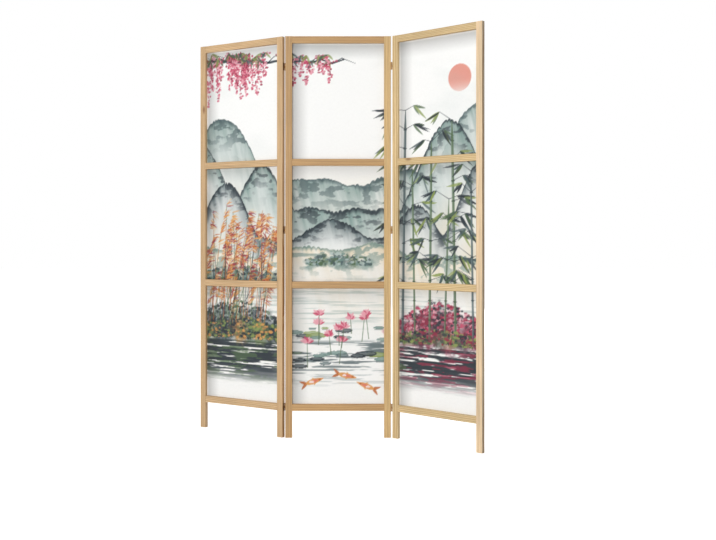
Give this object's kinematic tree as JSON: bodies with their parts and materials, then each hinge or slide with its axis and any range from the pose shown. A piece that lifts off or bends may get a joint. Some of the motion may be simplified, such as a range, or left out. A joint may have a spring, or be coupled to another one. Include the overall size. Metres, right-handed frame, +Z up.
{
  "type": "folding screen",
  "caption": "Free-standing zigzag folding screen of hinged pine frames, each a ladder of flat rails before a stretched printed sheet.",
  "frame": {"origin": "on the floor, at the middle of the box round the standing screen, opened as in the picture", "axes": "+Z up, +Y to the back of the centre panel, +X to the right as seen from the front"},
  "size_m": [1.2102, 0.537, 1.71],
  "materials": {
    "pine": "satin",
    "pine_beads": "satin",
    "non_woven_fabric": "matte",
    "hinge_metal": "satin",
    "pin_steel": "satin",
    "brad_steel": "satin"
  },
  "bodies": {
    "left_panel": {"left_joint_bottom_hinge_outer_leaf": "hinge_metal", "left_joint_middle_hinge_outer_leaf": "hinge_metal", "left_joint_top_hinge_outer_leaf": "hinge_metal", "left_panel_bottom_bead": "pine_beads", "left_panel_bottom_rail": "pine", "left_panel_brads": "brad_steel", "left_panel_hinge_screws": "hinge_metal", "left_panel_left_bead": "pine_beads", "left_panel_left_stile": "pine", "left_panel_lower_rail": "pine", "left_panel_printed_sheet": "non_woven_fabric", "left_panel_right_bead": "pine_beads", "left_panel_right_stile": "pine", "left_panel_top_bead": "pine_beads", "left_panel_top_rail": "pine", "left_panel_upper_rail": "pine"},
    "centre_panel": {"centre_panel_bottom_bead": "pine_beads", "centre_panel_bottom_rail": "pine", "centre_panel_brads": "brad_steel", "centre_panel_hinge_screws": "hinge_metal", "centre_panel_left_bead": "pine_beads", "centre_panel_left_stile": "pine", "centre_panel_lower_rail": "pine", "centre_panel_printed_sheet": "non_woven_fabric", "centre_panel_right_bead": "pine_beads", "centre_panel_right_stile": "pine", "centre_panel_top_bead": "pine_beads", "centre_panel_top_rail": "pine", "centre_panel_upper_rail": "pine", "left_joint_bottom_hinge_centre_leaf": "hinge_metal", "left_joint_bottom_hinge_pin": "pin_steel", "left_joint_middle_hinge_centre_leaf": "hinge_metal", "left_joint_middle_hinge_pin": "pin_steel", "left_joint_top_hinge_centre_leaf": "hinge_metal", "left_joint_top_hinge_pin": "pin_steel", "right_joint_bottom_hinge_centre_leaf": "hinge_metal", "right_joint_bottom_hinge_pin": "pin_steel", "right_joint_middle_hinge_centre_leaf": "hinge_metal", "right_joint_middle_hinge_pin": "pin_steel", "right_joint_top_hinge_centre_leaf": "hinge_metal", "right_joint_top_hinge_pin": "pin_steel"},
    "right_panel": {"right_joint_bottom_hinge_outer_leaf": "hinge_metal", "right_joint_middle_hinge_outer_leaf": "hinge_metal", "right_joint_top_hinge_outer_leaf": "hinge_metal", "right_panel_bottom_bead": "pine_beads", "right_panel_bottom_rail": "pine", "right_panel_brads": "brad_steel", "right_panel_hinge_screws": "hinge_metal", "right_panel_left_bead": "pine_beads", "right_panel_left_stile": "pine", "right_panel_lower_rail": "pine", "right_panel_printed_sheet": "non_woven_fabric", "right_panel_right_bead": "pine_beads", "right_panel_right_stile": "pine", "right_panel_top_bead": "pine_beads", "right_panel_top_rail": "pine", "right_panel_upper_rail": "pine"}
  },
  "joints": [
    {"name": "left_panel_hinge", "type": "hinge", "parent": "centre_panel", "child": "left_panel", "pos_m": [-0.20665, 0.04293, 0], "axis": [0, 0, 1], "range_deg": [-149.5, 33.5]},
    {"name": "right_panel_hinge", "type": "hinge", "parent": "centre_panel", "child": "right_panel", "pos_m": [0.24615, 0.01893, 0], "axis": [0, 0, 1], "range_deg": [-140, 48]}
  ]
}
